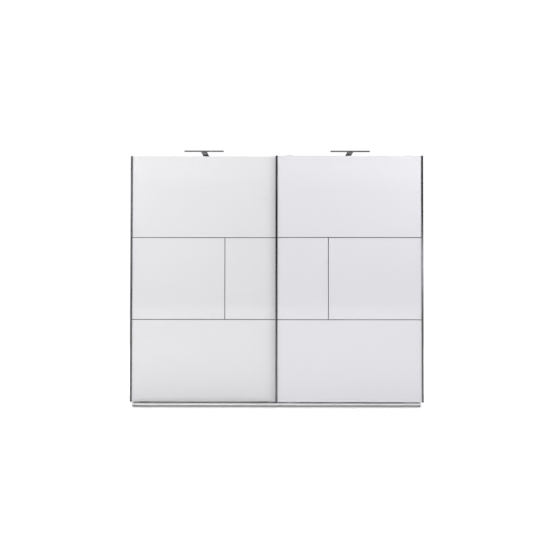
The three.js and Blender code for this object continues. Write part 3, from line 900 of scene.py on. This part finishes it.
# the floor's own light: it goes from FLOOR_GLOW to FAR_GLOW over FAR_BAND, in metres from the
# middle, and keeps the floor white far out; the glow after FAR_BAND is added to it over its own
# band, in metres outside the wardrobe, and is missing close to the wardrobe: a painted contact
# shadow
FLOOR_GLOW, FAR_GLOW, FAR_BAND = 0.12, 0.22, (2.0, 7.0)
GLOW_PAST_PAINTED_SHADOW, PAINTED_SHADOW_BAND = 0.29, (0.0, 0.32)

# name: place, what it points at, width and height, watts
SOFTBOXES = {
    "front_left": ((-4.5, -8.0, 2.6), (-0.6, 0, 1.1), (2.5, 2.5), 147),
    "front_high": ((0, -8.0, 4.5), (0, 0, 1.2), (6, 3), 31),
    "top_middle": ((0, -3.6, 5.6), (0, 0, 1.4), (3, 1.5), 45),
    "corner_right": ((2.6, -2.8, 4.4), (1.1, -0.29, 2.0), (1.2, 1.2), 17),
    "rim_left": ((-1.9, -1.5, 2.3), (-1.1, -0.29, 1.8), (0.8, 0.8), 4.2),
    "rim_right": ((1.9, -1.5, 2.3), (1.1, -0.29, 1.8), (0.8, 0.8), 4.5),
    "side_left": ((-6.0, 1.2, 2.6), (-1.25, 0.05, 1.1), (3, 3), 42),
    "side_right": ((6.0, 1.2, 2.6), (1.25, 0.05, 1.1), (3, 3), 42),
    "over_back": ((0, 2.6, 5.0), (0, 0.1, 2.0), (4, 2), 110),
    "rear_left": ((-3.4, 6.0, 3.0), (-0.5, 0.39, 1.0), (3, 3), 80),
    "rear_right": ((3.4, 6.0, 3.0), (0.5, 0.39, 1.0), (3, 3), 80),
}
# the same for two fills, and parts of the names of the only pieces that each one lights
FILLS = {
    "under_fill": ((0, -6.0, 0.15), (0, 0, 0.2), (6, 0.25), 42,
                   ("bottom_guide_rail", "plinth_front", "bottom_rail_screws", "_shoe_")),
    "edge_fill": ((2.65, -7.5, 1.45), (1.25, -0.29, 1.25), (0.8, 0.6), 12.5,
                  ("right_door_handle_outer",)),
}
NOT_ON_METAL = ("corner_right", "rim_left", "rim_right")
# strength, spread in degrees and direction of the light that only the floor gets
FLOOR_LIGHT, FLOOR_LIGHT_SPREAD, FLOOR_LIGHT_WAY = 3.0, 24, (0, 1.0, -0.62)
AMBIENT, SEEN_WHITE = 0.08, 1.05

CAMERA_PLACE = (-0.0125, -6.783, 0.995)
CAMERA_PITCH, CAMERA_ROLL = 1.19, -0.06  # degrees up from level, and about the line of sight
CAMERA_LENS, CAMERA_SENSOR = 50, 36      # millimetres


def aimed(way):
    """The turn that makes a light shine along way."""
    return Vector(way).to_track_quat("-Z", "Y").to_euler()


def holding(name, *parts):
    """A light-linking collection of the pieces whose name holds one of parts."""
    group = bpy.data.collections.new(name)
    for item in scene.objects:
        if any(part in item.name for part in parts):
            group.objects.link(item)
    return group


def left_out(name, *parts):
    """A light-linking collection of everything but those pieces."""
    group = holding(name, *parts)
    for entry in group.collection_objects:
        entry.light_linking.link_state = "EXCLUDE"
    return group


def add_softbox(name, at, aim, size, power):
    light = bpy.data.lights.new(name, "AREA")
    light.shape = "RECTANGLE"
    light.size, light.size_y = size
    light.energy = power
    lamp = bpy.data.objects.new(name, light)
    lamp.location = at
    lamp.rotation_euler = aimed(Vector(aim) - Vector(at))
    lamp.visible_camera = False
    scene.collection.objects.link(lamp)
    return lamp


def build_stage():
    """A wide white floor with a light of its own, so that it stays white to the horizon. Close to
    the wardrobe it darkens in real shadow and also glows less there, which paints a contact shadow."""
    bm = bmesh.new()
    bmesh.ops.create_grid(bm, x_segments=1, y_segments=1, size=FLOOR_REACH)
    mesh = bpy.data.meshes.new("floor")
    bm.to_mesh(mesh)
    bm.free()
    look = Look("floor_white", FLOOR_WHITE, roughness=0.9, Specular_IOR_Level=0.1,
                Emission_Color=(1, 1, 1, 1))
    half_width, half_depth = cad_bounds[1][:2]
    axes = look.axes()
    beside = look.math("SUBTRACT", look.math("ABSOLUTE", axes["X"]), half_width)
    before = look.math("SUBTRACT", look.math("ABSOLUTE", axes["Y"]), half_depth)
    outside = look.math("MAXIMUM", beside, before)
    away = look.node("ShaderNodeVectorMath", Vector=look.place)
    away.operation = "LENGTH"
    # painted contact shadow: the floor's own glow fades out within a band round the wardrobe
    glow_past_painted_shadow = look.between(outside, 0.0, GLOW_PAST_PAINTED_SHADOW, PAINTED_SHADOW_BAND)
    far = look.between(away.outputs["Value"], FLOOR_GLOW, FAR_GLOW, FAR_BAND)
    for spread in (glow_past_painted_shadow, far):
        spread.node.interpolation_type = "SMOOTHSTEP"
    look.feed(look.shader.inputs["Emission Strength"], look.math("ADD", glow_past_painted_shadow, far))
    mesh.materials.append(look.material)
    floor = bpy.data.objects.new("floor", mesh)
    scene.collection.objects.link(floor)

    sun = bpy.data.lights.new("floor_light", "SUN")
    sun.energy = FLOOR_LIGHT
    sun.angle = math.radians(FLOOR_LIGHT_SPREAD)
    lamp = bpy.data.objects.new("floor_light", sun)
    lamp.rotation_euler = aimed(FLOOR_LIGHT_WAY)
    lamp.light_linking.receiver_collection = holding("lit_by_floor_light", "floor")
    scene.collection.objects.link(lamp)


def build_world():
    """White to the camera and a soft grey-white for everything else."""
    world = bpy.data.worlds.new("studio")
    world.use_nodes = True
    tree = world.node_tree
    ambient = tree.nodes["Background"]
    seen = tree.nodes.new("ShaderNodeBackground")
    for background, strength in ((ambient, AMBIENT), (seen, SEEN_WHITE)):
        background.inputs["Color"].default_value = (1, 1, 1, 1)
        background.inputs["Strength"].default_value = strength
    ray = tree.nodes.new("ShaderNodeLightPath")
    mix = tree.nodes.new("ShaderNodeMixShader")
    factor, first, second = mix.inputs
    tree.links.new(ray.outputs["Is Camera Ray"], factor)
    tree.links.new(ambient.outputs["Background"], first)
    tree.links.new(seen.outputs["Background"], second)
    tree.links.new(mix.outputs["Shader"], tree.nodes["World Output"].inputs["Surface"])
    scene.world = world


def build_lights():
    """The softboxes, which the lamps on top cast no shadow in, and the fills for single pieces."""
    no_metal = left_out("all_but_the_profiles", "_handle_", "_trim_")
    no_lamps = left_out("all_but_the_lamps", "lamp_")
    for name, (at, aim, size, power) in SOFTBOXES.items():
        lamp = add_softbox(name, at, aim, size, power)
        lamp.light_linking.blocker_collection = no_lamps
        if name in NOT_ON_METAL:
            lamp.light_linking.receiver_collection = no_metal
    for name, (at, aim, size, power, lit) in FILLS.items():
        lamp = add_softbox(name, at, aim, size, power)
        lamp.light_linking.receiver_collection = holding(f"lit_by_{name}", *lit)


def build_camera():
    """Stands in front of the middle, a little below half height, and looks slightly up."""
    camera = bpy.data.cameras.new("camera")
    camera.lens = CAMERA_LENS
    camera.sensor_width = CAMERA_SENSOR
    camera.dof.use_dof = False
    viewer = bpy.data.objects.new("camera", camera)
    viewer.location = CAMERA_PLACE
    pitch, roll = math.radians(CAMERA_PITCH), math.radians(CAMERA_ROLL)
    viewer.rotation_euler = (math.radians(90) + pitch, roll, 0)
    scene.collection.objects.link(viewer)
    scene.camera = viewer


build_camera()
build_carcass()
build_rails()
for side_name in SIDES:
    lamp_arm(side_name)
    lamp_head(side_name)
for door_name, door_side in DOORS.items():
    build_door(door_name, door_side)
brush_seal("right_door", 1)
build_stage()
build_world()
build_lights()
scene.view_settings.view_transform = "Standard"
